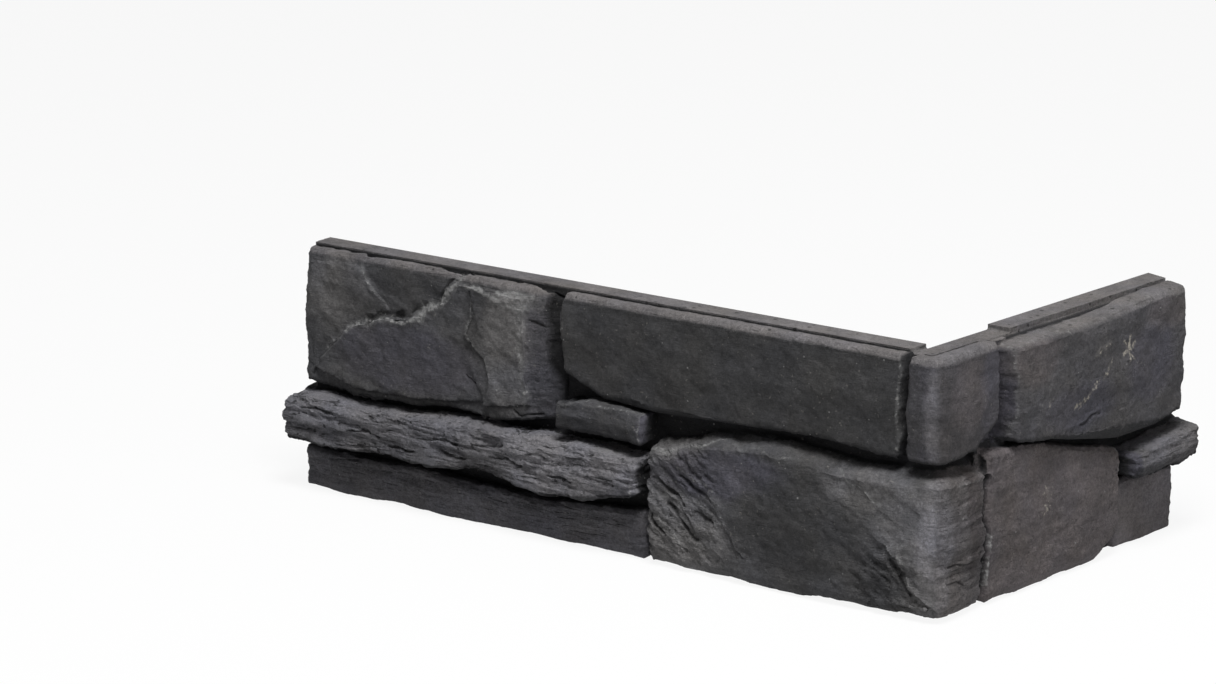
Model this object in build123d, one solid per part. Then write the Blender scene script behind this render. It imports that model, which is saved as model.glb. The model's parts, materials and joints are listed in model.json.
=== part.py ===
from build123d import *
from math import cos, radians, sin, sqrt
import os

# An outside-corner strip of cast stone cladding, in millimetres. The wall's corner stands at the origin:
# the long leg runs from it along -X, the short leg along +Y, and the stones face -Y and +X.
# Along a leg u is measured from the inner corner, d out from the wall, and z up from the bed.

# Back slab that carries the stones
height = 100.0        # bed to the top of the slab
long_leg = 293.0      # inner corner to the end of the long leg
short_leg = 151.0     # inner corner to the end of the short leg
slab = 10.0           # thickness of the slab
long_lean = 0.12      # draft of the long leg's end: how much u it loses for each unit of d
short_lean = 0.33     # draft of the short leg's end
corner_dip = 1.8      # the slab's top is this much lower over the corner
dip_reach = 40.0      # inner corner to the end of that dip, along the short leg
groove = 2.4          # width of the groove that parts the slab's top from the stones
groove_depth = 2.0    # its depth below the stones' tops

# Ends, joints and edges
long_tongue = 6.5     # the protruding strip passes the long leg's end by this much, to bond with the next one
short_tongue = 8.5    # the protruding ledge does the same at the short leg's end
long_spread = 2.0     # the other stones at the long leg's end pass it by this much at their feet
short_spread = 3.0    # so does the foot stone at the short leg's end
joint = 2.5           # width between two courses
gap = 1.2             # half the width between two stones of one course
root = 5.0            # how far from the wall a stone starts, inside the slab
turn = 8.0            # the same for the line that the corner stones' sections turn about
turn_start = 1.0      # those sections start this far from that line
top_drop = 1.0        # the top stones stop this far below the slab's top
edge = 1.8            # bevel along a stone's edges
fine_edge = 1.2       # the same on the thin stones
foot_edge = 1.0       # the same along a stone's foot
toe = 4.5             # the same along the foot of the big lower stones
strip_rise = 1.5      # the protruding strip's top rises this much from its face back to the wall
quoin_rise = 5.0      # so does the big corner stone's
swell = 0.8           # the middle of a face stands out this much more than its edges
corner_round = 5.0    # radius of the corner stones' upright edge
diagonal = 45.0       # direction of that edge, seen from above
fan = 15.0            # the sections on either side of it are turned by this much

# Long leg: upright joints, as u
top_joint = 159.5     # between the two top stones
low_joint = 115.0     # between the thin strips and the big corner stone
wedge_length = 43.0   # small wedge that ends above the same joint
quoin_front = 15.0    # front width of the top corner stone

# Short leg: upright joints, as u
quoin_side = 21.0     # end of the top corner stone
flare = 0.5           # how much u the top stone's near side gains for each unit of d
low_quoin_side = 13.0  # end of the big corner stone
block_end = 104.5     # end of the lower block, start of the stones beyond it

# Heights of the courses
strip_foot = 21.5     # thin protruding strip
strip_head = 41.0
top_foot = 60.5       # smooth top stone and top corner stone
quoin_head = 53.0     # big corner stone
end_foot = 50.0       # top stone of the short leg
ledge_foot = 30.0     # small protruding stone at the short leg's end
ledge_head = 41.5

# How far each stone's face stands out from the wall
face_flaked = 16.8
face_smooth = 18.0
face_quoin = 19.5
face_strip = 26.0
face_wedge = 21.0
face_foot_strip = 17.5
face_low_quoin = 21.0
face_end = 23.0
face_block = 20.0
face_ledge = 26.0
face_foot_end = 15.0
flake_rise = 0.9      # each split plate of the flaked stone stands out this much more than the one before
infill = 14.5         # cast fill in the joint at the end of the top corner stone
infill_length = 20.0  # its length, half of it on each side of that joint

# Waist of the short leg's top stone, where its end is hollow
waist = 5.0           # depth of the hollow
waist_height = 70.0   # its middle
waist_radius = 32.0


def long_point(u, d, z):
    return (-u, -d, z)


def short_point(u, d, z):
    return (d, u, z)


def corner_point(angle):
    """Points of an upright plane that turns round the corner, from 0 across the long leg to 90."""
    side = sin(radians(angle))
    front = cos(radians(angle))
    return lambda u, d, z: (turn + d * side, -turn - d * front, z)


def section(point, u, lean, rake, start, foot, head, face, brow, toe_bevel, rise, inset=0.0):
    """Cross-section of a stone: bevelled at its head and foot, with a face that swells in the middle.

    Its plane loses u outwards by the lean and upwards by the rake, and its top rises towards the wall.
    """
    low = foot + inset
    high = head - inset
    out = face - inset
    outline = [
        (start, low),
        (out - toe_bevel / 2, low),
        (out, low + toe_bevel),
        (out + swell, (low + high) / 2),
        (out, high - brow),
        (out - brow, high),
        (start, high + rise),
    ]
    corners = [point(u - lean * d - rake * (z - foot), d, z) for d, z in outline]
    return make_face(Polyline(*corners, close=True))


def skin(sections):
    """Solid through a row of sections, straight from each one to the next."""
    spans = [loft(pair, ruled=True) for pair in zip(sections, sections[1:])]
    return spans[0].fuse(*spans[1:])


def stone(point, near, far, foot, head, face, stations, start=root, bevel=edge, toe_bevel=foot_edge, rise=0.0,
          near_lean=0.0, far_lean=0.0, far_rake=0.0):
    """Stone between two upright joints of one leg, lofted through sections along it.

    A station gives its share of the length, then what the foot, the head and the face gain there.
    """
    first = near + bevel
    length = far - near - 2 * bevel
    sections = []
    for share, foot_gain, head_gain, face_gain in stations:
        slope = (near_lean + share * (far_lean - near_lean), share * far_rake)
        size = (start, foot + foot_gain, head + head_gain, face + face_gain, bevel, toe_bevel, rise)
        if share == 0:
            sections.append(section(point, near, *slope, *size, inset=bevel))
        sections.append(section(point, first + share * length, *slope, *size))
        if share == 1:
            sections.append(section(point, far, *slope, *size, inset=bevel))
    return skin(sections)


def corner_reach(face, angle):
    """Distance from the turning line of the corner sections to a rounded outer corner."""
    if angle == diagonal:
        return (face - corner_round - turn) * sqrt(2) + corner_round
    return (face - turn) / cos(radians(min(angle, 90 - angle)))


def corner_stone(far, side, foot, head, face, stations, side_stations, toe_bevel=foot_edge, rise=0.0):
    """Stone that wraps the corner: along the long leg, round the corner and along the short leg."""
    def size(start, foot_gain, head_gain, reach):
        return (start, foot + foot_gain, head + head_gain, reach, edge, toe_bevel, rise)

    sections = []
    for share, foot_gain, head_gain, face_gain in stations:
        here = size(turn, foot_gain, head_gain, face + face_gain)
        if share == 1:
            sections.append(section(long_point, far, 0, 0, *here, inset=edge))
        sections.append(section(long_point, -turn + share * (far - edge + turn), 0, 0, *here))
    foot_gain, head_gain = stations[-1][1:3]
    for angle in (diagonal - fan, diagonal, diagonal + fan):
        here = size(turn_start, foot_gain, head_gain, corner_reach(face, angle))
        sections.append(section(corner_point(angle), 0, 0, 0, *here))
    for share, foot_gain, head_gain, face_gain in side_stations:
        here = size(turn, foot_gain, head_gain, face + face_gain)
        sections.append(section(short_point, -turn + share * (side - edge + turn), 0, 0, *here))
        if share == 1:
            sections.append(section(short_point, side, 0, 0, *here, inset=edge))
    return skin(sections)


def flake(near, far, foot, head, face, outline):
    """Plate of a split stone that broke at its own level, outlined by shares of the length and height."""
    corners = [long_point(near + u * (far - near), root, foot + z * (head - foot)) for u, z in outline]
    return extrude(make_face(Polyline(*corners, close=True)), amount=face - root, dir=(0, -1, 0))


def back_slab():
    """L-shaped slab with flat back faces and drafted ends, lower over the corner."""
    plan = Polyline(
        (0, 0),
        (-long_leg, 0),
        (-long_leg + long_lean * slab, -slab),
        (slab, -slab),
        (slab, short_leg - short_lean * slab),
        (0, short_leg),
        close=True,
    )
    body = extrude(make_face(plan), height)
    low_corner = (Align.MIN, Align.MIN, Align.MIN)
    dip = Pos(0, -slab, height - corner_dip) * Box(slab, slab + dip_reach, corner_dip, align=low_corner)
    fill_foot = quoin_head - edge
    fill = Pos(root, quoin_side - infill_length / 2, fill_foot) * Box(
        infill - root, infill_length, height - corner_dip - fill_foot, align=low_corner)
    return body - dip + fill


def top_groove():
    """Groove along the foot of the slab's lip, over both legs."""
    deep = top_drop + groove_depth
    low_corner = (Align.MIN, Align.MIN, Align.MIN)
    along_long = Pos(-long_leg, -slab - groove, height - deep) * Box(
        long_leg + slab + groove, groove, deep, align=low_corner)
    along_short = Pos(slab, -slab - groove, height - deep) * Box(
        groove, short_leg + slab + groove, deep, align=low_corner)
    return along_long + along_short


def long_leg_stones():
    """Stones of the long leg, from its end towards the corner."""
    head = height - top_drop
    flaked_foot = strip_head + joint
    flaked_span = (top_joint + gap, long_leg + long_spread, flaked_foot, head)
    flaked = stone(long_point, *flaked_span, face_flaked, [
        (0.0, 5.0, -3.0, -4.0),
        (0.11, 2.5, 0.0, 1.6),
        (0.25, -0.5, 0.0, 1.4),
        (0.38, 2.0, 0.0, 0.6),
        (0.55, -0.5, 0.0, 0.0),
        (0.80, -2.0, 0.0, 0.0),
        (1.0, 0.5, 0.0, 0.0),
    ], far_lean=long_lean, far_rake=long_spread / (head - flaked_foot))
    upper_flake = flake(*flaked_span, face_flaked + flake_rise, [
        (0.947, 0.08),
        (0.947, 0.91),
        (0.766, 0.94),
        (0.728, 0.87),
        (0.683, 0.77),
        (0.622, 0.74),
        (0.569, 0.69),
        (0.675, 0.57),
        (0.811, 0.43),
        (0.902, 0.24),
    ])
    lower_flake = flake(*flaked_span, face_flaked + 2 * flake_rise, [
        (0.932, 0.12),
        (0.894, 0.30),
        (0.811, 0.46),
        (0.667, 0.60),
        (0.524, 0.65),
        (0.471, 0.75),
        (0.410, 0.78),
        (0.361, 0.94),
        (0.267, 0.94),
        (0.267, 0.12),
        (0.524, 0.05),
        (0.766, 0.04),
    ])
    near_flake = flake(*flaked_span, face_flaked + 3 * flake_rise, [
        (0.10, 0.16),
        (0.27, 0.10),
        (0.24, 0.30),
        (0.26, 0.44),
        (0.345, 0.55),
        (0.315, 0.73),
        (0.32, 0.94),
        (0.12, 0.92),
    ])
    quoin_end = quoin_front - face_quoin
    smooth = stone(long_point, quoin_end + 2 * gap, top_joint - gap, top_foot, head, face_smooth, [
        (0.0, -0.5, 0.0, 0.0),
        (0.21, 1.5, 0.0, 0.0),
        (0.47, 0.5, 0.0, 0.0),
        (0.72, -1.0, 0.0, 0.0),
        (0.88, 0.5, 0.0, 0.0),
        (0.95, 5.0, 0.0, 0.0),
        (1.0, 8.0, 0.0, 0.0),
    ])
    strip = stone(long_point, low_joint + gap, long_leg + long_tongue, strip_foot, strip_head, face_strip, [
        (0.0, 4.0, 0.8, 0.0),
        (0.16, 0.0, 0.8, 0.0),
        (0.25, -1.8, 0.8, 0.0),
        (0.39, 2.3, 0.6, 0.0),
        (0.56, 1.0, 0.0, 0.0),
        (0.76, 0.0, -1.3, 0.0),
        (1.0, 0.0, -2.0, 0.0),
    ], start=0.0, rise=strip_rise, far_lean=long_lean)
    wedge = stone(long_point, low_joint + gap, low_joint + gap + wedge_length, strip_head + 2 * joint,
                  top_foot - gap, face_wedge, [
        (0.0, 0.0, -1.0, 0.0),
        (0.6, 0.5, 0.0, 0.0),
        (1.0, 0.8, -2.0, 0.0),
    ], bevel=fine_edge)
    foot_end = long_leg + long_spread
    foot_strip = stone(long_point, low_joint + gap, foot_end, 0.0, strip_foot - joint, face_foot_strip, [
        (0.0, 0.0, 1.0, 0.0),
        (0.3, 0.0, -4.0, 0.0),
        (0.6, 0.0, -2.5, 0.0),
        (1.0, 0.0, -1.5, 0.0),
    ], far_lean=long_lean)
    return [flaked, upper_flake, lower_flake, near_flake, smooth, strip, wedge, foot_strip]


def corner_stones():
    """The two stones that wrap the corner."""
    top = corner_stone(quoin_front - face_quoin, quoin_side, top_foot, height - top_drop, face_quoin,
                       [(1.0, 0.0, 0.0, 0.0)],
                       [(0.5, 0.5, 0.0, 0.0), (1.0, 9.0, 0.0, 0.0)])
    low = corner_stone(low_joint - gap, low_quoin_side, 0.0, quoin_head, face_low_quoin, [
        (1.0, 1.0, -7.0, 0.0),
        (0.9, 0.5, -6.5, 0.0),
        (0.79, 0.0, -1.0, 0.0),
        (0.56, 0.0, 1.5, 0.0),
        (0.40, 0.5, 0.0, 0.0),
        (0.23, 1.0, -1.5, 0.0),
        (0.0, 1.5, 0.5, 0.0),
    ], [(0.0, 1.5, 0.0, 0.0), (1.0, 1.0, -1.0, -2.0)], toe_bevel=toe, rise=quoin_rise)
    return [top, low]


def short_leg_stones():
    """Stones of the short leg, from the corner to its end."""
    head = height - top_drop
    near = quoin_side - flare * slab
    large = stone(short_point, near, short_leg, end_foot, head, face_end, [
        (0.0, 10.0, -2.0, 0.0),
        (0.2, 7.0, -2.0, 0.0),
        (0.3, 4.5, -2.0, 0.0),
        (0.58, -1.5, -1.5, 0.0),
        (0.84, -1.5, 0.0, 0.0),
        (1.0, 1.0, 0.0, 0.0),
    ], near_lean=-flare, far_lean=short_lean)
    hollow = Pos(face_end, short_leg + waist_radius - waist, waist_height) * Rot(0, 90, 0) * Cylinder(
        waist_radius, 2 * face_end)
    block = stone(short_point, low_quoin_side, block_end - gap, 0.0, end_foot - joint, face_block, [
        (0.0, 0.0, 12.0, 0.0),
        (0.4, 0.0, 8.0, 0.0),
        (0.72, 0.0, 0.5, 0.0),
        (0.86, 0.5, -2.0, 0.0),
        (1.0, 6.0, -5.0, 0.0),
    ], toe_bevel=toe)
    beyond = block_end + gap
    ledge = stone(short_point, beyond, short_leg + short_tongue, ledge_foot, ledge_head, face_ledge, [
        (0.0, 0.0, -2.0, 0.0),
        (0.7, 0.0, 0.0, 0.0),
        (1.0, 1.0, 2.5, 0.0),
    ], start=0.0, bevel=fine_edge, far_lean=short_lean)
    foot_end = stone(short_point, beyond, short_leg + short_spread, 0.0, ledge_foot - joint, face_foot_end, [
        (0.0, 0.0, 0.0, 0.0),
        (1.0, 0.0, -1.0, 0.0),
    ], far_lean=short_lean)
    return [large - hollow, block, ledge, foot_end]


body = back_slab().fuse(*long_leg_stones(), *corner_stones(), *short_leg_stones())
body = (body - top_groove()).clean()

os.makedirs("parts", exist_ok=True)
export_step(body, "parts/corner_strip.step")
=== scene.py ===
import json
from functools import cache
from math import radians

import bpy
import numpy as np
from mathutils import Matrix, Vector, noise

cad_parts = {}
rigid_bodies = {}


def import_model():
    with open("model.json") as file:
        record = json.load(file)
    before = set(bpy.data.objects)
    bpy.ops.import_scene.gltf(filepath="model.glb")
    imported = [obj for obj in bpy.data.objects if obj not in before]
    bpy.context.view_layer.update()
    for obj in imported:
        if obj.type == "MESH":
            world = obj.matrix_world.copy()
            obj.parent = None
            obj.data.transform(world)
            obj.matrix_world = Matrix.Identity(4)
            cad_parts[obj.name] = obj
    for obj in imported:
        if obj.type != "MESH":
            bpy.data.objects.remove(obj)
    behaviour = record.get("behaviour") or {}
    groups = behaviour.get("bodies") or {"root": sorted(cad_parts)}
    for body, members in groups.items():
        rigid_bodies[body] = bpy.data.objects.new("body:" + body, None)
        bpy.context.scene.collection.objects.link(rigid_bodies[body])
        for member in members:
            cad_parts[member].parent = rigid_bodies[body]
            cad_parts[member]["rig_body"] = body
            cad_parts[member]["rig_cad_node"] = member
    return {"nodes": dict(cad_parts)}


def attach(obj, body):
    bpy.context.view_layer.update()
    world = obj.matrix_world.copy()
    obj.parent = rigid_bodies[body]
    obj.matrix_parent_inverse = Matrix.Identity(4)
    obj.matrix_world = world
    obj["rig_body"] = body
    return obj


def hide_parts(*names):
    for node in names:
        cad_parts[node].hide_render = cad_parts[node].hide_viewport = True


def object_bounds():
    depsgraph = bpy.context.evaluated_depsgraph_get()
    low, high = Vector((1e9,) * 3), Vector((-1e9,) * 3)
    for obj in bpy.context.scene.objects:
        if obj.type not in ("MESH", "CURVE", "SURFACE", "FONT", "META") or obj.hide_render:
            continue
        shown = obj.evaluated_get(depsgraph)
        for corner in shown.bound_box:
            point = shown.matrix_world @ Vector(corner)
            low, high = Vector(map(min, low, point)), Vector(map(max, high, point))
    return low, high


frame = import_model()
CAD_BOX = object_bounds()

# The strip stands with its inner corner at the origin. Places on it are given in millimetres, as on the
# maker's drawing: u along a leg from that corner, d out from the wall, z up from the bed.
MM = 0.001
TOP = CAD_BOX[1][2] / MM    # height of the slab's lip
SLAB = 10.0                 # thickness of the back slab
GROOVE = 2.3                # width of the shade in the groove at the lip's foot

# Moulded stones: leg, both ends (u), foot and head (z) at those ends, and how far out they stand (d).
# A foot on the bed or a head at the top is given past it, so that its edges belong to the stone.
STONES = {
    "flaked": ("long", 160, 300, (44, 42.5), (108, 108), 17.5),
    "smooth": ("long", -3.5, 159, (60, 63), (108, 108), 18),
    "strip": ("long", 115, 304, (21, 19), (44, 42.5), 26),
    "wedge": ("long", 115, 161.5, (44, 46), (59, 60), 21),
    "foot_strip": ("long", 115, 300, (-8, -8), (20, 18.5), 17.5),
    "quoin": ("long", -24, -4, (59.5, 59.5), (108, 108), 19.5),
    "quoin_side": ("short", -24, 21.5, (59, 62), (108, 108), 19.5),
    "big_quoin": ("long", -26, 114.5, (-8, -8), (58, 56), 21),
    "big_quoin_side": ("short", -26, 13, (-8, -8), (58, 58), 21),
    "end": ("short", 21.5, 153, (60, 47.5), (108, 108), 23),
    "block": ("short", 13, 104, (-8, -8), (60, 47.5), 20),
    "ledge": ("short", 104.5, 161, (29, 29), (45, 47), 26),
    "foot_end": ("short", 104.5, 156, (-8, -8), (29, 29), 15),
}

# Colours of the casting, and of painted shade and light, in linear light
INK = (0.025, 0.025, 0.0255)
SLATE_BLUE = (0.044, 0.043, 0.052)
# Painted shade with a bluish tint, for a facet that faces away from the lamps
SHADED_FACET_BLUE = (0.024, 0.023, 0.029)
UMBER = (0.070, 0.062, 0.062)
DARK_UMBER = (0.036, 0.030, 0.029)
DUST = (0.088, 0.087, 0.088)
PALE_BLUE = (0.128, 0.126, 0.133)
DUSTY_BLUE = (0.144, 0.142, 0.149)
CHALK = (0.19, 0.19, 0.188)
CREAM = (0.27, 0.25, 0.215)
# Painted shade: near black for joints, gaps, the groove and undersides, where shade falls
PAINTED_SHADE = (0.009, 0.009, 0.010)
PLAIN_BACK = (0.075, 0.074, 0.073)
# Tops that face up: pale as cast, with painted light from above
CAST_TOP_WITH_TOP_LIGHT = (0.104, 0.099, 0.098)
# The lip: pale as cast on its top, with painted light from above; on the short leg its upright face is
# painted as bright as the lit top
LIP_PALE_AND_LIT = (0.112, 0.107, 0.106)

# Slight casts that come and go over all of it
COOL = (0.98, 0.98, 1.04)
WARM = (1.03, 1.0, 0.98)

# Ground colour of each stone
GROUND = {
    "flaked": (0.043, 0.043, 0.044),
    "smooth": INK,
    "strip": (0.113, 0.112, 0.119),
    "wedge": (0.036, 0.036, 0.0375),
    "foot_strip": (0.064, 0.063, 0.069),
    "quoin": (0.037, 0.036, 0.041),
    "quoin_side": (0.034, 0.032, 0.033),
    "big_quoin": (0.041, 0.041, 0.042),
    "big_quoin_side": (0.072, 0.067, 0.067),
    "end": (0.046, 0.045, 0.047),
    "block": UMBER,
    "ledge": (0.074, 0.072, 0.074),
    "foot_end": (0.075, 0.069, 0.071),
}

# Patches of colour: stone, colour, strength, then the mark's middle (u, z), half length, half height, tilt
PATCHES = [
    ("flaked", DUST, 0.45, 272, 86, 17, 13, 0),
    ("flaked", INK, 0.7, 236, 90, 22, 8, 8),
    ("flaked", SLATE_BLUE, 0.9, 236, 61, 36, 13, 0),
    ("flaked", INK, 0.25, 236, 61, 36, 13, 0),
    ("flaked", DUST, 0.75, 184, 74, 11, 26, 0),
    ("flaked", CHALK, 0.45, 178, 93, 13, 4, 0),
    ("flaked", SLATE_BLUE, 0.5, 168, 70, 8, 30, 0),
    ("wedge", SLATE_BLUE, 0.9, 115, 52, 4, 9, 0),
    ("quoin", INK, 0.5, -6, 78, 7, 24, 0),
    ("quoin", PALE_BLUE, 0.4, -21, 78, 7, 24, 0),
    ("quoin_side", SLATE_BLUE, 0.7, 17, 80, 9, 22, 0),
    # Painted shade on the end stone's near facet, which faces away from the lamps
    ("end", SHADED_FACET_BLUE, 1.0, 21, 80, 6, 26, 0),
    ("strip", DUSTY_BLUE, 0.9, 145, 33, 34, 12, 0),
    ("big_quoin", DUST, 1.0, 97, 24, 21, 26, 0),
    ("big_quoin", SLATE_BLUE, 0.9, 80, 41, 30, 9, -8),
    ("big_quoin", INK, 0.85, 42, 26, 28, 20, 0),
    ("big_quoin", DUST, 0.7, 8, 47, 22, 7, 0),
    ("big_quoin", DUST, 0.6, -8, 34, 13, 18, 20),
    ("big_quoin", PALE_BLUE, 0.8, -20, 28, 9, 26, 0),
    ("big_quoin", DUST, 0.8, -13, 11, 7, 9, 0),
    ("big_quoin_side", PALE_BLUE, 0.5, -20, 28, 9, 26, 0),
    ("big_quoin_side", DARK_UMBER, 0.7, 5, 36, 6, 22, 0),
    ("quoin_side", UMBER, 0.5, 0, 84, 12, 14, 0),
    ("end", UMBER, 0.6, 40, 90, 14, 10, 0),
    ("end", UMBER, 0.5, 130, 92, 16, 7, 0),
    ("end", SLATE_BLUE, 0.8, 70, 66, 24, 9, 0),
    ("end", SLATE_BLUE, 0.8, 118, 74, 17, 14, 0),
    ("ledge", PALE_BLUE, 0.4, 132, 37, 18, 7, 0),
    ("ledge", SLATE_BLUE, 0.9, 106, 37, 4, 8, 0),
]

# Fine lines on the stones: stone, strength, half width and points (u, z).
# Crumbs are pale grains along broken rims and worn edges.
CRUMBS = [
    ("flaked", 0.4, 2.2, [(282, 56), (278, 62), (270, 67.5)]),
    ("flaked", 0.6, 2.8, [(268, 68.5), (259, 72.5), (248, 75.5), (238, 77.5)]),
    ("flaked", 0.75, 1.8, [(240, 76), (231, 77)]),
    ("flaked", 0.75, 4.2, [(229.5, 78.5), (228, 83), (225, 86)]),
    ("flaked", 0.75, 4.6, [(224.5, 84.5), (219, 86.5), (216, 90)]),
    ("flaked", 0.75, 3.2, [(216, 90), (212, 94), (209, 98)]),
    ("flaked", 0.4, 1.8, [(261, 95.5), (258, 91.5), (256, 88), (252.5, 85)]),
    ("flaked", 0.5, 1.2, [(295, 58), (296, 75), (295, 94)]),
    ("flaked", 0.4, 3.0, [(178, 92), (177, 84), (178.5, 75), (177, 64), (176, 52)]),
    ("flaked", 0.5, 1.2, [(204, 93), (203, 84), (206, 76)]),
    ("flaked", 0.4, 1.2, [(205, 74), (196, 68), (193, 60)]),
    ("flaked", 0.75, 1.8, [(206, 96), (196, 94), (188, 93)]),
    ("flaked", 0.85, 2.2, [(190, 96), (182, 95), (174, 95.5)]),
    ("flaked", 0.7, 1.6, [(188, 91), (180, 90), (175, 91)]),
    ("smooth", 0.4, 0.9, [(157.6, 97), (157, 88), (157.2, 80), (158, 73), (156.5, 68), (152, 65),
                          (147, 62.5)]),
    ("smooth", 0.25, 0.8, [(147, 62.5), (138, 60.5), (120, 59.5), (100, 60.5)]),
    ("smooth", 0.4, 0.9, [(-0.8, 97), (-0.7, 80), (-0.9, 62)]),
    ("wedge", 0.45, 0.9, [(118.4, 47), (118.2, 58)]),
    ("wedge", 0.35, 0.9, [(159, 55), (152, 57.5), (135, 58.3), (119, 58.3)]),
    ("strip", 0.3, 1.0, [(165, 42.5), (140, 42), (121, 41.5)]),
    ("strip", 0.4, 1.0, [(118.5, 41), (118.3, 28)]),
    ("big_quoin", 0.6, 1.3, [(112, 45), (105, 46), (98, 48), (88, 51), (79, 54)]),
    ("big_quoin", 0.3, 1.0, [(79, 54), (60, 54), (42, 52)]),
    ("big_quoin", 0.45, 1.0, [(108, 38), (100, 34), (94, 30)]),
    ("big_quoin", 0.45, 1.0, [(104, 30), (96, 24), (88, 18)]),
    ("big_quoin", 0.4, 1.0, [(98, 41), (88, 37), (80, 34)]),
    ("big_quoin", 0.4, 1.0, [(92, 29), (84, 25), (78, 21)]),
    ("big_quoin", 0.45, 1.0, [(110, 24), (103, 17), (97, 12)]),
    ("big_quoin", 0.3, 0.9, [(90, 14), (82, 9)]),
    ("big_quoin", 0.5, 1.2, [(24, 52), (18, 47), (12, 45), (5, 42)]),
    ("big_quoin", 0.25, 1.0, [(20, 40), (10, 37), (0, 38)]),
    ("big_quoin", 0.6, 1.3, [(3, 27.5), (-2, 22.5), (-7, 16), (-12.5, 9.5)]),
    ("big_quoin", 0.5, 1.6, [(-4, 24), (-8, 19)]),
    ("big_quoin", 0.4, 1.0, [(6, 22), (-1, 17), (-6, 12)]),
    ("foot_strip", 0.2, 0.9, [(285, 12), (262, 13)]),
    ("foot_strip", 0.2, 0.9, [(220, 12), (198, 11), (180, 12)]),
    ("foot_strip", 0.2, 0.9, [(170, 7), (150, 8), (135, 7)]),
    ("big_quoin_side", 0.35, 1.0, [(-10, 51), (0, 51), (11, 49.5)]),
    ("end", 0.35, 1.2, [(27, 97), (27.4, 80), (27, 64)]),
    ("end", 0.25, 1.0, [(30, 96.5), (60, 97), (100, 97.5), (145, 98)]),
    ("block", 0.8, 1.1, [(14.2, 27), (14.6, 22)]),
    ("block", 0.8, 1.1, [(14.4, 19), (14, 9)]),
    ("block", 0.65, 1.2, [(93, 46), (99, 46), (102, 41), (100.5, 35)]),
    ("ledge", 0.3, 1.0, [(108, 31), (112, 36), (109, 40)]),
    ("ledge", 0.3, 0.9, [(112, 41), (132, 42.5), (152, 43.5)]),
]

# Cracks are pressed in and painted dark as their shade, and so is the shade under rims.
CRACKS = [
    ("flaked", 0.6, 1.3, [(259, 74.5), (248, 78), (240, 80)]),
    ("flaked", 0.7, 1.4, [(234, 80), (230, 82), (228, 86)]),
    ("flaked", 0.8, 1.2, [(221, 89), (217, 92.5), (213, 97)]),
    ("flaked", 0.8, 0.9, [(183, 50), (177, 47.5), (170, 49)]),
    ("flaked", 0.8, 1.0, [(173, 86), (168, 84.5)]),
    ("flaked", 0.7, 0.9, [(205, 60), (201, 57)]),
    ("strip", 0.9, 0.9, [(287, 36), (270, 35.5)]),
    ("strip", 0.9, 0.9, [(262, 31), (245, 30)]),
    ("strip", 0.8, 0.9, [(250, 37), (236, 36)]),
    ("strip", 0.9, 0.9, [(240, 27), (226, 27.5)]),
    ("strip", 0.8, 0.9, [(222, 34), (205, 33)]),
    ("strip", 0.9, 0.9, [(212, 29), (200, 28.5)]),
    ("strip", 0.9, 0.9, [(196, 36), (182, 36)]),
    ("strip", 0.9, 0.9, [(188, 31), (172, 30)]),
    ("strip", 0.8, 0.9, [(168, 35), (160, 34.5)]),
    ("strip", 0.9, 0.9, [(158, 29), (146, 28.5)]),
    ("strip", 0.8, 0.9, [(150, 37), (140, 36.5)]),
    ("strip", 0.8, 0.9, [(136, 32), (127, 31.5)]),
    ("big_quoin", 0.9, 1.1, [(110, 35), (102, 31), (95, 26)]),
    ("big_quoin", 0.9, 1.1, [(104, 26), (97, 20), (90, 14)]),
    ("big_quoin", 0.8, 1.0, [(97, 38), (88, 34), (82, 30)]),
    ("big_quoin", 0.8, 1.0, [(90, 25), (83, 21)]),
    ("big_quoin", 0.8, 1.0, [(112, 20), (105, 13)]),
    ("big_quoin", 0.8, 1.2, [(1, 22), (-3, 18), (-9, 10)]),
    ("big_quoin", 0.7, 1.0, [(7, 18), (0, 13)]),
    ("big_quoin_side", 0.7, 0.9, [(-12, 22), (0, 20), (10, 21)]),
    ("big_quoin_side", 0.7, 0.9, [(-14, 14), (-2, 12)]),
    ("end", 0.7, 0.9, [(70, 59), (82, 60.5)]),
]

# Chips show cream.
CHIPS = [
    ("end", 0.7, 1.6, [(101.4, 77.5), (102.8, 86.5)]),
    ("end", 0.7, 1.5, [(97.5, 80), (107, 83.5)]),
    ("end", 0.6, 1.4, [(98.5, 85), (106, 78)]),
    ("end", 0.45, 2.6, [(84, 74), (88.5, 78.5)]),
    ("end", 0.4, 2.4, [(79, 84), (89, 88)]),
    ("end", 0.5, 3.2, [(66, 66.5), (72, 68), (79, 72.5)]),
    ("end", 0.35, 2.4, [(47, 69), (50, 72)]),
    ("block", 0.35, 3.0, [(51, 26), (53, 33), (51, 38)]),
]

LINES = {"crumbs": CRUMBS, "cracks": CRACKS, "chips": CHIPS}

# Open joints between stones: leg, half width and points (u, z), and their depth on each leg
JOINTS = [
    ("long", 3.4, [(164.6, 102), (165, 91), (164.4, 77.5), (164, 68), (161, 63.5), (155, 60)]),
    ("long", 1.4, [(-2.8, 102), (-2.9, 80), (-2.8, 60)]),
    ("short", 1.1, [(21.4, 99), (21.3, 80), (21.5, 66)]),
    ("short", 0.8, [(13, 50), (13.2, 30), (12.8, 4)]),
]
JOINT_DEPTH = {"long": 3.0, "short": 2.0}

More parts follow.
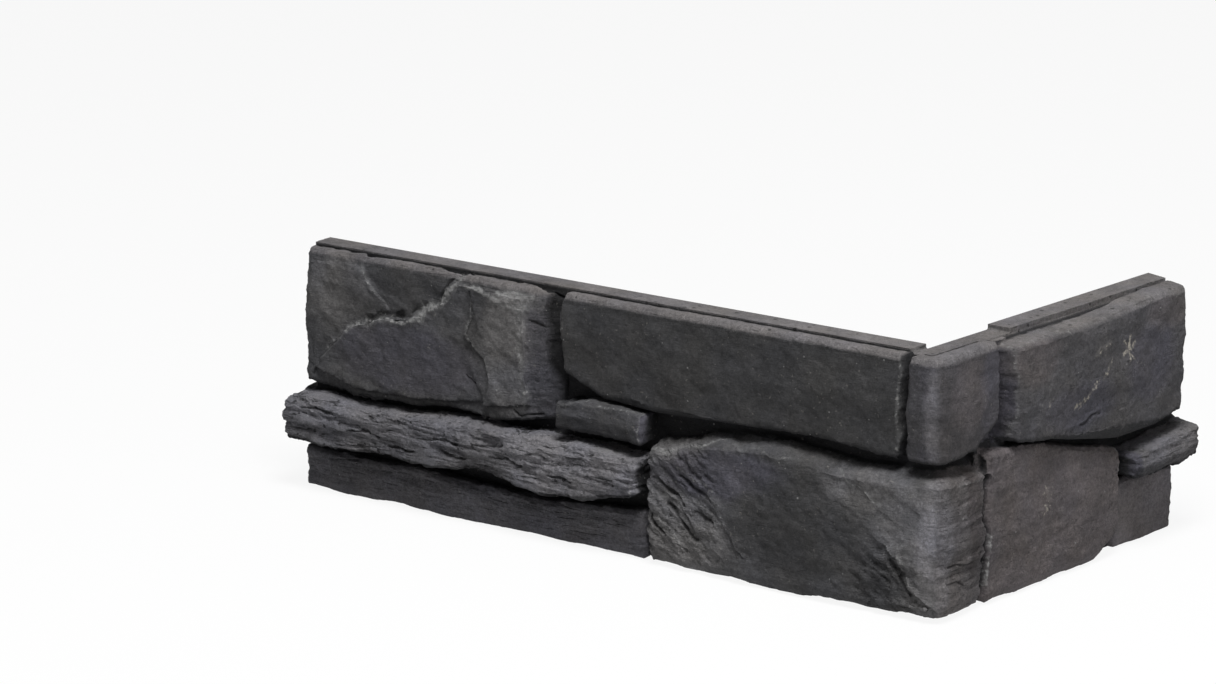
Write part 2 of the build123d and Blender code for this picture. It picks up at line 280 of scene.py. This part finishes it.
# Scarps where the slate split off: stone, depth, reach of the hollow, and points (u, z) with the hollow on
# their left
SCARPS = [
    ("flaked", 1.2, 15, [(206, 101), (209, 98), (216, 90), (219, 86.5), (225, 86), (229.5, 78.5),
                         (238, 77.5), (248, 75.5), (259, 72.5), (269, 68), (281, 57)]),
    ("flaked", 0.9, 16, [(252, 84.5), (256, 88), (258, 91.5), (261, 97)]),
    ("flaked", 0.8, 12, [(203, 94), (199, 80), (204, 66), (197, 50)]),
    ("big_quoin", 1.5, 10, [(3, 27), (-2, 22.5), (-7, 16), (-12.5, 9.5), (-17, 6)]),
    ("big_quoin", 0.8, 6, [(5, 21.5), (-1.5, 17), (-7, 11)]),
    ("big_quoin", 0.4, 13, [(22, 51), (15, 46), (5, 40)]),
    ("big_quoin", 0.9, 9, [(103, 38), (92, 33), (78, 24), (70, 14)]),
    ("big_quoin", 0.8, 8, [(99, 26), (90, 20), (80, 10)]),
    ("end", 0.5, 12, [(60, 58), (75, 62), (92, 58), (104, 61)]),
    ("block", 0.6, 10, [(45, 50), (40, 36), (52, 22), (48, 10)]),
]

# Texture of each stone, from 0 to 1: soft undulation, bedding, slanting ridges, grit and pin-holes
TEXTURE = {
    "flaked": (0.35, 0.10, 0.15, 0.35, 0.15),
    "smooth": (0.15, 0.05, 0.10, 0.22, 0.10),
    "strip": (0.40, 1.00, 0.00, 0.90, 0.90),
    "wedge": (0.25, 0.25, 0.00, 0.30, 0.10),
    "foot_strip": (0.30, 0.45, 0.00, 0.30, 0.15),
    "quoin": (0.20, 0.10, 0.00, 0.35, 0.15),
    "quoin_side": (0.20, 0.10, 0.00, 0.35, 0.15),
    "big_quoin": (0.60, 0.10, 0.10, 0.40, 0.15),
    "big_quoin_side": (0.40, 0.45, 0.00, 0.60, 0.30),
    "end": (0.35, 0.12, 0.10, 0.60, 0.30),
    "block": (0.40, 0.12, 0.10, 0.60, 0.30),
    "ledge": (0.40, 0.60, 0.00, 0.80, 0.40),
    "foot_end": (0.20, 0.10, 0.00, 0.30, 0.10),
}

# Places that are coarser than the rest of their stone: stone, texture as above, then the place's middle
# (u, z), half length, half height and tilt
COARSE = [
    ("flaked", (0.3, 0.3, 0.0, 0.7, 0.4), 166, 72, 8, 32, 0),
    ("flaked", (0.3, 0.3, 0.0, 0.9, 0.8), 185, 96, 24, 6, 0),
    ("big_quoin", (0.5, 0.0, 0.8, 0.8, 0.4), 99, 26, 20, 30, 0),
    ("big_quoin", (0.5, 0.5, 0.6, 0.8, 0.4), 2, 12, 14, 14, 0),
    ("end", (0.3, 0.3, 0.0, 0.6, 0.4), 23, 78, 5, 26, 0),
    ("block", (0.4, 0.2, 0.0, 1.0, 0.6), 98, 42, 8, 7, 0),
]

# Relief of each texture: height, size of its grain along x, y and z, the grain's turn in degrees, depth of
# the noise, number of terraces, and the level that stays where it is
RELIEF = {
    "undulation": (2.4, (30, 30, 16), 25, 3, 6, 0.6),
    "bedding": (2.2, (26, 26, 3.4), 3, 4, 7, 0.6),
    "ridges": (2.2, (10, 10, 3.4), 34, 4, 6, 0.6),
    "grit": (0.9, (3.4, 3.4, 2.4), 0, 4, 0, 0.55),
}

# How the moulded faces stray from the solid's, from coarse to fine: size of the grain, and how far they move
STRAYING = ((26, 2.2), (7, 1.1), (2.0, 0.7))

# How far brush marks and lines wander, over what length, and the seed of that wandering
WANDER = 2.0
WANDER_LENGTH = 8.0
WANDER_SEED = 1

# Spans over which something rises from nothing to full: heights are in millimetres, slopes from 0 to 1
CALM_HEAD = (TOP - 8, TOP - 2)              # relief dies away below the head
STONE_HEAD = (TOP - 3, TOP - 1.4)           # heads that are lifted towards the lip
CAST_HEAD = (TOP - 4.5, TOP - 2.5)          # tops as they came out of the mould, also painted lighter where they face up, as lit from above
LIP_BASE = (TOP - 3.5, TOP - 2.5)           # upright face of the lip
LIP_EDGE = (TOP - 0.5, TOP - 0.9)           # from its clean top edge down to its shade
LIP_TOP = (TOP - 0.8, TOP - 0.4)
BACK_EDGE = (TOP - 3.5, TOP - 3)
GROOVE_FLOOR = (TOP - 1.6, TOP - 2.4)
FACING_UP = (0.35, 0.75)
UPRIGHT = (0.8, 0.5)
FACING_DOWN = (0.0, -0.3)
BRUSH_RIM = (1.25, 0.75)                    # edge of a brush mark, as shares of its size

# Depths of what is pushed in or lifted
HEAD_LIFT = 0.85
LONG_LEG_LIFT = 0.6                         # share of that lift on the long leg
FOOT_CHIPS = 1.8
CRACK_DEPTH = 0.9
CRUMB_HEIGHT = 1.6

# Modelling grain: size of the voxels, triangles that the finished stone may have, steps of a painted weight,
# and the angle in degrees up to which edges are shaded smooth
VOXEL = 0.5
TRIANGLES = 190_000
WEIGHT_STEPS = 24
SMOOTH_ANGLE = 32


def only(piece):
    """Selects one object and makes it active."""
    bpy.ops.object.select_all(action="DESELECT")
    piece.select_set(True)
    bpy.context.view_layer.objects.active = piece


def modify(piece, kind, **settings):
    """Adds a modifier to a piece, sets it up and applies it."""
    only(piece)
    bpy.ops.object.modifier_add(type=kind)
    modifier = piece.modifiers[-1]
    for name, value in settings.items():
        setattr(modifier, name, value)
    bpy.ops.object.modifier_apply(modifier=modifier.name)


def ramp(value, start, end):
    """0 up to start, 1 from end on, and a smooth rise between them; start may be the larger one."""
    share = np.clip((value - start) / (end - start), 0, 1)
    return share * share * (3 - 2 * share)


def read(piece, what):
    """One vector of each vertex of a piece, such as its place, as the rows of an array."""
    values = np.empty(3 * len(piece.data.vertices), np.float32)
    piece.data.vertices.foreach_get(what, values)
    return values.reshape(-1, 3)


class Skin:
    """Where each vertex of a piece lies on the two legs, in millimetres, and how it faces.

    Stones keep to the solid's own joints. Brush marks and lines wander a little, as if laid on by hand.
    """

    def __init__(self, piece):
        normals = read(piece, "normal")
        self.up = normals[:, 2]
        self.facing = {"long": -normals[:, 1], "short": normals[:, 0]}
        places = read(piece, "co") / MM
        self.u = {"long": -places[:, 0], "short": places[:, 1]}
        self.out = {"long": -places[:, 1], "short": places[:, 0]}
        self.depth = np.maximum(self.out["long"], self.out["short"])
        self.height = places[:, 2]
        noise.seed_set(WANDER_SEED)
        wander = [noise.noise_vector(Vector(place) / WANDER_LENGTH) for place in places]
        brushed = places + WANDER * np.array(wander, np.float32)
        self.brush_u = {"long": -brushed[:, 0], "short": brushed[:, 1]}
        self.brush_z = brushed[:, 2]
        on_long = ramp(self.out["long"] - self.out["short"], -3, 3)
        self.share = {"long": on_long, "short": 1 - on_long}

    def in_front(self, leg):
        """How far each vertex belongs to what stands out from the slab on a leg."""
        return ramp(self.out[leg], SLAB, SLAB + 2) * self.share[leg]

    @cache
    def stone(self, name):
        """How far each vertex belongs to a stone, from 0 to 1."""
        leg, near, far, foot, head, _ = STONES[name]
        u = self.u[leg]
        low = np.interp(u, (near, far), foot)
        high = np.interp(u, (near, far), head)
        inside = (u > near) & (u < far) & (self.height > low) & (self.height < high)
        return inside * self.in_front(leg)

    @cache
    def stones(self):
        """How far each vertex belongs to any stone."""
        return sum(self.stone(name) for name in STONES)

    def sunken(self, name):
        """How far a vertex lies down a joint beside a stone, on its sides or under it."""
        leg, *_, face = STONES[name]
        sideways = ramp(self.facing[leg], 0.45, 0.15) * ramp(self.up, 0.5, 0.2)
        return self.stone(name) * sideways * ramp(self.out[leg], face - 2, face - 5)

    def mark(self, name, u, z, half_length, half_height, tilt):
        """One soft brush mark on a stone's face: an ellipse about (u, z), its far end raised by the tilt."""
        along = self.brush_u[STONES[name][0]] - u
        up = self.brush_z - z
        turn = radians(tilt)
        length = (along * np.cos(turn) + up * np.sin(turn)) / half_length
        height = (up * np.cos(turn) - along * np.sin(turn)) / half_height
        return self.stone(name) * ramp(np.hypot(length, height), *BRUSH_RIM)

    def offset(self, leg, points):
        """Distance from a line through points (u, z) on a leg, above zero on the line's left."""
        u = self.brush_u[leg]
        nearest = np.full(len(u), np.inf)
        for (u0, z0), (u1, z1) in zip(points, points[1:]):
            run = (u1 - u0, z1 - z0)
            across = (u - u0, self.brush_z - z0)
            share = np.clip((across[0] * run[0] + across[1] * run[1]) / (run[0] ** 2 + run[1] ** 2), 0, 1)
            distance = np.hypot(across[0] - share * run[0], across[1] - share * run[1])
            side = np.where(run[0] * across[1] - run[1] * across[0] > 0, 1, -1)
            nearest = np.where(distance < np.abs(nearest), side * distance, nearest)
        return nearest

    @cache
    def lines(self, kind):
        """Fine brush lines of one kind, each kept to its stone's face."""
        drawn = np.zeros(len(self.height))
        for name, strength, width, points in LINES[kind]:
            distance = np.abs(self.offset(STONES[name][0], points))
            drawn = np.maximum(drawn, strength * self.stone(name) * ramp(distance, width, 0))
        return drawn

    @cache
    def joints(self, leg):
        """The open joints of a leg, full in their middle."""
        opened = np.zeros(len(self.height))
        for of_leg, width, points in JOINTS:
            if of_leg == leg:
                distance = np.abs(self.offset(leg, points))
                opened = np.maximum(opened, ramp(distance, width, 0.6 * width))
        return opened * self.in_front(leg)

    def scarp(self, name, reach, points):
        """The ground that split off on the left of a line: deepest at the line, and gone at the reach."""
        offset = self.offset(STONES[name][0], points)
        hollow = ramp(offset, -0.3, 0.5) * ramp(offset, reach, 0)
        return self.stone(name) * hollow * ramp(self.height, 1, 5)

    def lip_face(self):
        """The lip's upright face above the groove."""
        near_face = ramp(np.abs(self.depth - SLAB), 0.9, 0.4)
        return near_face * ramp(self.up, *UPRIGHT) * ramp(self.height, *LIP_BASE)

    def back_edge(self):
        """The edge between the slab's top and its back."""
        return ramp(self.depth, 1.0, 0.4) * ramp(self.height, *BACK_EDGE)

    def textures(self):
        """Weights of each vertex for the five textures of the stones, one column for each."""
        weights = sum(np.outer(self.stone(name), shares) for name, shares in TEXTURE.items())
        for name, shares, *place in COARSE:
            weights += self.mark(name, *place)[:, None] * (np.array(shares) - weights)
        weights[:, 0] *= 1 - 0.8 * ramp(self.brush_z, *CALM_HEAD)
        weights[:, 1:4] *= ramp(self.height, 0, 5)[:, None]
        return weights


def weigh(piece, name, weights):
    """Paints a vertex group on a piece from one weight for each vertex."""
    group = piece.vertex_groups.new(name=name)
    steps = np.rint(np.clip(weights, 0, 1) * WEIGHT_STEPS).astype(int)
    for step in range(1, WEIGHT_STEPS + 1):
        group.add(np.flatnonzero(steps == step).tolist(), step / WEIGHT_STEPS, "REPLACE")
    return group.name


def grain(size, turn=0):
    """Empty that lays a relief's noise out: its size along each axis, and its turn about y in degrees."""
    bpy.ops.object.select_all(action="DESELECT")
    bpy.ops.object.empty_add(location=(0, 0, 0), rotation=(0, radians(turn), 0))
    empty = bpy.context.object
    empty.scale = Vector(size) * MM
    return empty


def clouds(name, depth, terraces=0, kind="GRAYSCALE"):
    """Soft noise for a relief, cut into flat terraces where they are asked for."""
    lowest, highest = 0.28, 0.72
    riser = 0.016
    texture = bpy.data.textures.new(name, "CLOUDS")
    texture.noise_scale = 1.0
    texture.noise_depth = depth
    texture.cloud_type = kind
    if terraces:
        texture.use_color_ramp = True
        stops = texture.color_ramp.elements
        while len(stops) < 2 * terraces:
            stops.new(0.5)
        for step in range(terraces):
            middle = lowest + (highest - lowest) * (step + 0.5) / terraces
            for side in (0, 1):
                level = (step + side) / terraces
                stop = stops[2 * step + side]
                stop.position = middle + riser * (side - 0.5)
                stop.color = (level, level, level, 1)
    return texture


def relief(piece, group, height, texture, space, middle=0.5, direction="NORMAL"):
    """Raises and sinks the painted part of a piece by a texture; height is in millimetres."""
    bpy.context.view_layer.update()
    modify(
        piece,
        "DISPLACE",
        strength=height * MM,
        vertex_group=group,
        texture=texture,
        texture_coords="OBJECT",
        texture_coords_object=space,
        mid_level=middle,
        direction=direction,
    )
    bpy.data.objects.remove(space)


def push(piece, group, distance, direction="NORMAL"):
    """Moves the painted part of a piece evenly, in millimetres: out along its normals or along an axis."""
    modify(piece, "DISPLACE", strength=distance * MM, vertex_group=group, mid_level=0.0, direction=direction)


def rough_casting():
    """Copy of the solid, its doubles merged, as one even skin of small quads."""
    only(frame["nodes"]["corner_strip"])
    bpy.ops.object.duplicate()
    piece = bpy.context.object
    piece.name = "cast_strip"
    piece.data.name = "cast_strip"
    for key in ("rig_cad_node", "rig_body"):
        del piece[key]
    piece.parent = None
    only(piece)
    bpy.ops.object.mode_set(mode="EDIT")
    bpy.ops.mesh.select_all(action="SELECT")
    bpy.ops.mesh.remove_doubles(threshold=0.01 * MM)
    bpy.ops.object.mode_set(mode="OBJECT")
    modify(piece, "REMESH", mode="VOXEL", voxel_size=VOXEL * MM)
    return piece


def weather(piece, skin):
    """Turns the plain solid's faces into split slate."""
    calm = ramp(skin.brush_z, 0, 4) * (1 - 0.75 * ramp(skin.brush_z, *CALM_HEAD))
    faces = weigh(piece, "faces", skin.stones() * calm)
    for size, height in STRAYING:
        relief(piece, faces, height, clouds("straying", 2, kind="COLOR"), grain((size, size, size)),
               direction="RGB_TO_XYZ")
    lift = LONG_LEG_LIFT + (1 - LONG_LEG_LIFT) * skin.share["short"]
    heads = weigh(piece, "heads", skin.stones() * ramp(skin.height, *STONE_HEAD) * lift)
    push(piece, heads, HEAD_LIFT, "Z")
    foot = weigh(piece, "foot", ramp(skin.depth, SLAB, SLAB + 2) * ramp(skin.height, 4.5, 0))
    relief(piece, foot, FOOT_CHIPS, clouds("chips", 1), grain((22, 22, 22)), middle=0.1, direction="Z")

    deepest = max(depth for _, depth, _, _ in SCARPS)
    split = sum(depth / deepest * skin.scarp(name, reach, points) for name, depth, reach, points in SCARPS)
    push(piece, weigh(piece, "split", split), -deepest)
    for leg, inward, axis in (("long", 1, "Y"), ("short", -1, "X")):
        push(piece, weigh(piece, "joints", skin.joints(leg)), inward * JOINT_DEPTH[leg], axis)
    for weights, (name, laid_out) in zip(skin.textures().T, RELIEF.items()):
        height, size, turn, depth, terraces, middle = laid_out
        group = weigh(piece, name, weights)
        relief(piece, group, height, clouds(name, depth, terraces), grain(size, turn), middle)
    push(piece, weigh(piece, "cracks", skin.lines("cracks")), -CRACK_DEPTH)
    crumbs = weigh(piece, "crumbs", skin.lines("crumbs"))
    relief(piece, crumbs, CRUMB_HEIGHT, clouds("crumbs", 3), grain((1.7, 1.7, 1.7)), middle=0.4)


def trim(piece):
    """Presses what stands out of the solid's box back onto it."""
    only(piece)
    for axis in range(3):
        flat = [1, 1, 1]
        flat[axis] = 0
        for corner, sign in zip(CAD_BOX, (-1, 1)):
            bpy.ops.object.mode_set(mode="EDIT")
            bpy.ops.mesh.select_mode(type="VERT")
            bpy.ops.mesh.select_all(action="DESELECT")
            bpy.ops.object.mode_set(mode="OBJECT")
            outside = sign * (read(piece, "co")[:, axis] - corner[axis]) > 0
            piece.data.vertices.foreach_set("select", outside)
            bpy.ops.object.mode_set(mode="EDIT")
            if outside.any():
                bpy.ops.transform.resize(value=flat, center_override=corner)
            bpy.ops.object.mode_set(mode="OBJECT")


def finish_mesh(piece, skin):
    """Thins the skin to the triangles it may have, keeping the fine lines and edges, and shades it."""
    drawn = sum(skin.lines(kind) for kind in LINES)
    kept = np.maximum(drawn, np.maximum(skin.lip_face(), skin.back_edge())) > 0.25
    triangles = 2 * len(piece.data.polygons)
    modify(piece, "DECIMATE", ratio=min(1.0, TRIANGLES / triangles), vertex_group=weigh(piece, "kept", kept),
           invert_vertex_group=True)
    only(piece)
    bpy.ops.object.vertex_group_remove(all=True)
    bpy.ops.object.shade_smooth_by_angle(angle=radians(SMOOTH_ANGLE))


def paint(piece, skin):
    """Paints the casting's colour, with painted shade and painted light, its fine lines and its grain on the
    vertices.
    """
    count = len(piece.data.vertices)
    colour = np.tile(np.array(PLAIN_BACK, np.float32), (count, 1))

    def lay(tint, weight):
        colour[:] += weight[:, None] * (np.array(tint, np.float32) - colour)

    # Painted shade: all that stands out of the slab starts near black, for the gaps between stones
    lay(PAINTED_SHADE, ramp(skin.depth, SLAB + 0.5, SLAB + 2))
    for name, tint in GROUND.items():
        lay(tint, skin.stone(name))
    for name, tint, strength, *place in PATCHES:
        lay(tint, strength * skin.mark(name, *place))
    top = ramp(skin.height, *CAST_HEAD)
    # Tops facing up: pale cast ground with painted light from above
    lay(CAST_TOP_WITH_TOP_LIGHT, top * ramp(skin.up, *FACING_UP))
    for name in STONES:
        # Painted shade on each stone's sides, down its joints
        lay(PAINTED_SHADE, skin.sunken(name))
        # Painted shade on the stones' undersides, facing down
        lay(PAINTED_SHADE, 0.85 * skin.stone(name) * ramp(skin.up, *FACING_DOWN) * ramp(skin.height, 8, 14))
    # Painted shade in the open joints
    for leg in JOINT_DEPTH:
        lay(PAINTED_SHADE, skin.joints(leg))
    # Painted shade on the groove's floor at the lip's foot
    groove = ramp(skin.depth, SLAB - 1, SLAB - 0.4) * ramp(skin.depth, SLAB + GROOVE, SLAB + GROOVE - 0.5)
    lay(PAINTED_SHADE, groove * ramp(skin.height, *GROOVE_FLOOR))
    # Lip's top: pale cast ground with painted light from above
    lay(LIP_PALE_AND_LIT, ramp(skin.height, *LIP_TOP) * ramp(skin.depth, SLAB + 1, SLAB + 0.5))
    # Painted light: the lip's upright face on the short leg, as pale as its lit top
    lay(LIP_PALE_AND_LIT, skin.lip_face() * skin.share["short"])
    # Painted shade: a dark line on the lip's face on the long leg, below its clean top edge
    lay(PAINTED_SHADE, skin.lip_face() * skin.share["long"] * ramp(skin.height, *LIP_EDGE))
    lay_on(piece, "wash", np.column_stack((colour, skin.lines("chips"))))
    unused = np.zeros((count, 2))
    lay_on(piece, "lines", np.column_stack((skin.lines("crumbs"), skin.lines("cracks"), unused)))

    plain_grain = np.full((count, 4), 0.2)
    cast_grain = np.array((0.2, 0.0, 0.8, 0.6))
    grains = plain_grain + top[:, None] * (cast_grain - plain_grain)
    on_stone = np.clip(skin.stones(), 0, 1) * (1 - top)
    grains += on_stone[:, None] * (skin.textures()[:, 1:] - grains)
    lay_on(piece, "grain", grains)


def lay_on(piece, name, values):
    """Adds a colour attribute to a piece, with four values for each vertex."""
    only(piece)
    bpy.ops.geometry.color_attribute_add(name=name, domain="POINT", data_type="FLOAT_COLOR")
    painted = piece.data.color_attributes[name].data
    painted.foreach_set("color", np.ascontiguousarray(values, np.float32).ravel())


def wear(piece):
    """Finds the edges that wear pale, as a colour attribute."""
    only(piece)
    white = (1, 1, 1, 1)
    bpy.ops.geometry.color_attribute_add(name="worn", domain="POINT", data_type="FLOAT_COLOR", color=white)
    bpy.ops.paint.vertex_color_dirt(blur_strength=1.0, blur_iterations=1, dirt_only=False, normalize=False)


def add_node(tree, kind, sockets=None, **settings):
    """Adds a node; sockets gives its inputs, each as a value or as another node's output."""
    made = tree.nodes.new("ShaderNode" + kind)
    for key, value in settings.items():
        setattr(made, key, value)
    for key, value in (sockets or {}).items():
        if isinstance(value, bpy.types.NodeSocket):
            tree.links.new(value, made.inputs[key])
        else:
            made.inputs[key].default_value = value
    return made


def combine(tree, operation, first, *others):
    """Values put together by one operation, one after another."""
    for other in others:
        first = add_node(tree, "Math", {0: first, 1: other}, operation=operation).outputs[0]
    return first


def times(tree, *values):
    """Product of values."""
    return combine(tree, "MULTIPLY", *values)


def spread(tree, value, start, end, low=0.0, high=1.0, **settings):
    """Value moved from the span start to end onto the span low to high."""
    spans = {"Value": value, "From Min": start, "From Max": end, "To Min": low, "To Max": high}
    return add_node(tree, "MapRange", spans, **settings).outputs[0]


def blend(tree, factor, first, second):
    """Colour that goes from the first to the second by a factor."""
    mixed = add_node(tree, "Mix", {"Factor": factor, "A": first, "B": second}, data_type="RGBA")
    return mixed.outputs["Result"]


def speckle(tree, place, size, detail=3.0, roughness=0.6):
    """Noise with grains of a size in millimetres."""
    settings = {"Vector": place, "Scale": 1 / (size * MM), "Detail": detail, "Roughness": roughness}
    return add_node(tree, "TexNoise", settings).outputs["Fac"]


def mottling(tree, place, size, low, high, **settings):
    """Noise with grains of a size in millimetres, spread from low to high."""
    return spread(tree, speckle(tree, place, size, **settings), 0.3, 0.7, low, high)


def layers(tree, place, length, thickness, turn=0.0):
    """Noise drawn out along the beds, by its length and thickness in millimetres."""
    scale = (1 / (length * MM), 1 / (length * MM), 1 / (thickness * MM))
    laid = add_node(tree, "Mapping", {"Vector": place, "Rotation": (0, radians(turn), 0), "Scale": scale})
    settings = {"Vector": laid.outputs[0], "Scale": 1.0, "Detail": 4.0, "Roughness": 0.6, "Distortion": 0.6}
    return add_node(tree, "TexNoise", settings).outputs["Fac"]


def spots(tree, place, spacing, rarity, largest):
    """Round spots strewn at random, from 0 to 1: their spacing in millimetres, how many are left out, and
    the radius of the largest as a share of the spacing."""
    cells = add_node(tree, "TexVoronoi", {"Vector": place, "Scale": 1 / (spacing * MM)})
    chance = add_node(tree, "SeparateColor", {"Color": cells.outputs["Color"]}).outputs["Red"]
    radius = spread(tree, chance, rarity, 1.0, 0.0, largest)
    inside = combine(tree, "SUBTRACT", radius, cells.outputs["Distance"])
    return spread(tree, inside, 0.0, 0.3 * largest)


def crumbled(tree, line, grains):
    """A brush line broken into grains: whole in its middle, and strewn towards its edges."""
    return spread(tree, combine(tree, "ADD", line, spread(tree, grains, 0.3, 0.7)), 0.95, 1.3)


def shader(name):
    """New node material; returns it with its node tree and its main shader."""
    material = bpy.data.materials.new(name)
    material.use_nodes = True
    tree = material.node_tree
    return material, tree, tree.nodes["Principled BSDF"]


def charcoal_stone():
    """Matt charcoal concrete: painted ground, mottled and grained, with pale worn edges."""
    material, tree, body = shader("charcoal_stone")
    place = add_node(tree, "TexCoord").outputs["Object"]
    wash = add_node(tree, "VertexColor", layer_name="wash").outputs
    worn = add_node(tree, "VertexColor", layer_name="worn").outputs["Color"]
    lines = add_node(tree, "VertexColor", layer_name="lines").outputs["Color"]
    lines = add_node(tree, "SeparateColor", {"Color": lines}).outputs
    crumbs, cracks, chips = lines["Red"], lines["Green"], wash["Alpha"]
    grain_paint = add_node(tree, "VertexColor", layer_name="grain").outputs
    shares = add_node(tree, "SeparateColor", {"Color": grain_paint["Color"]}).outputs

    # Fine relief, in millimetres
    strata = layers(tree, place, 9, 1.0)
    slants = layers(tree, place, 5, 1.5, turn=34)
    beds = times(tree, spread(tree, strata, 0.25, 0.75, interpolation_type="STEPPED"), shares["Red"])
    ridges = times(tree, spread(tree, slants, 0.25, 0.75), shares["Green"])
    grit = times(tree, speckle(tree, place, 1.8, detail=5.0, roughness=0.75), shares["Blue"], 1.6)
    slit = times(tree, spread(tree, strata, 0.40, 0.33), shares["Red"])
    hole = times(tree, spots(tree, place, 3.5, 0.45, 0.3), grain_paint["Alpha"])
    height = combine(tree, "SUBTRACT", combine(tree, "ADD", beds, ridges, grit), slit, hole)
    bump = add_node(tree, "Bump", {"Height": height, "Strength": 1.0, "Distance": 1.0 * MM})
    tree.links.new(bump.outputs[0], body.inputs["Normal"])

    # Ground colour, mottled, with painted shade in slits, pin-holes and cracks
    tone = times(
        tree,
        mottling(tree, place, 16, 0.8, 1.25),
        mottling(tree, place, 1.6, 0.7, 1.3, detail=6.0, roughness=0.7),
        mottling(tree, place, 0.7, 0.75, 1.25),
        spread(tree, slit, 0.0, 0.8, 1.0, 0.3),
        spread(tree, hole, 0.0, 0.7, 1.0, 0.3),
        spread(tree, cracks, 0.1, 0.8, 1.0, 0.25),
    )
    tint = speckle(tree, place, 22, detail=2.0, roughness=0.5)
    cast = blend(tree, spread(tree, tint, 0.35, 0.65), (*COOL, 1), (*WARM, 1))
    colour = add_node(tree, "VectorMath", {0: wash["Color"], 1: cast}, operation="MULTIPLY").outputs[0]
    colour = add_node(tree, "VectorMath", {0: colour, 1: tone}, operation="MULTIPLY").outputs[0]

    # Pale edges, specks, crumbs and chips
    edge = times(tree, spread(tree, worn, 0.54, 0.66), mottling(tree, place, 3, 0.0, 1.0))
    speck = times(tree, spots(tree, place, 3.0, 0.75, 0.16), 0.6)
    grains = speckle(tree, place, 1.5, roughness=0.5)
    crumb = combine(tree, "ADD", times(tree, crumbled(tree, crumbs, grains), 0.5),
                    times(tree, spread(tree, crumbs, 0.1, 0.7), 0.3))
    colour = blend(tree, combine(tree, "MAXIMUM", edge, speck, crumb), colour, (*CHALK, 1))
    chip = combine(tree, "ADD", times(tree, crumbled(tree, chips, grains), 0.75),
                   times(tree, spread(tree, chips, 0.2, 0.9), 0.25))
    colour = blend(tree, chip, colour, (*CREAM, 1))
    tree.links.new(colour, body.inputs["Base Color"])
    body.inputs["Roughness"].default_value = 0.85
    body.inputs["Specular IOR Level"].default_value = 0.3
    return material


def studio():
    """Pale floor that looks white, soft lamps and a white surround."""
    bpy.ops.object.select_all(action="DESELECT")
    bpy.ops.mesh.primitive_plane_add(size=12, location=(0, 0, 0))
    floor = bpy.context.object
    floor.name = "floor"
    material, tree, body = shader("white_floor")
    body.inputs["Base Color"].default_value = (0.55, 0.55, 0.55, 1)
    body.inputs["Roughness"].default_value = 1.0
    floor.data.materials.append(material)
    path = add_node(tree, "LightPath").outputs
    rays = [path[kind] for kind in ("Is Camera Ray", "Is Glossy Ray", "Is Transmission Ray")]
    seen = combine(tree, "MAXIMUM", *rays)
    glow = add_node(tree, "Emission", {"Strength": 1.0}).outputs[0]
    mixed = add_node(tree, "MixShader", {"Fac": times(tree, seen, 0.9), 1: body.outputs[0], 2: glow})
    tree.links.new(mixed.outputs[0], tree.nodes["Material Output"].inputs["Surface"])

    world = bpy.data.worlds.new("surround")
    bpy.context.scene.world = world
    world.use_nodes = True
    surround = world.node_tree.nodes["Background"]
    surround.inputs["Color"].default_value = (1, 1, 1, 1)
    surround.inputs["Strength"].default_value = 0.2
    lamp(place=(0.35, -0.45, 1.5), aim=(-0.08, 0, 0.05), size=0.6, power=42)
    lamp(place=(1.5, -0.3, 0.8), aim=(-0.02, 0.05, 0.05), size=0.9, power=8)


def lamp(place, aim, size, power):
    """Square soft lamp that looks at a point."""
    bpy.ops.object.light_add(type="AREA", location=place)
    light = bpy.context.object
    light.data.size = size
    light.data.energy = power
    light.rotation_euler = (Vector(aim) - Vector(place)).to_track_quat("-Z", "Y").to_euler()


def camera():
    """Camera where the photograph was taken from."""
    azimuth = 38.64
    elevation = 13.59
    eye = (0.9846, -1.4184, 0.5171)
    frame_width = 1216
    focal_pixels = 4836
    bpy.ops.object.camera_add(location=eye, rotation=(radians(90 - elevation), 0, radians(azimuth)))
    view = bpy.context.object
    view.data.sensor_width = 36
    view.data.lens = view.data.sensor_width * focal_pixels / frame_width
    bpy.context.scene.camera = view
    bpy.context.scene.view_settings.view_transform = "Standard"


strip = rough_casting()
strip_skin = Skin(strip)
paint(strip, strip_skin)
weather(strip, strip_skin)
finish_mesh(strip, strip_skin)
trim(strip)
wear(strip)
strip.data.materials.clear()
strip.data.materials.append(charcoal_stone())
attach(strip, "root")
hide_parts("corner_strip")
studio()
camera()
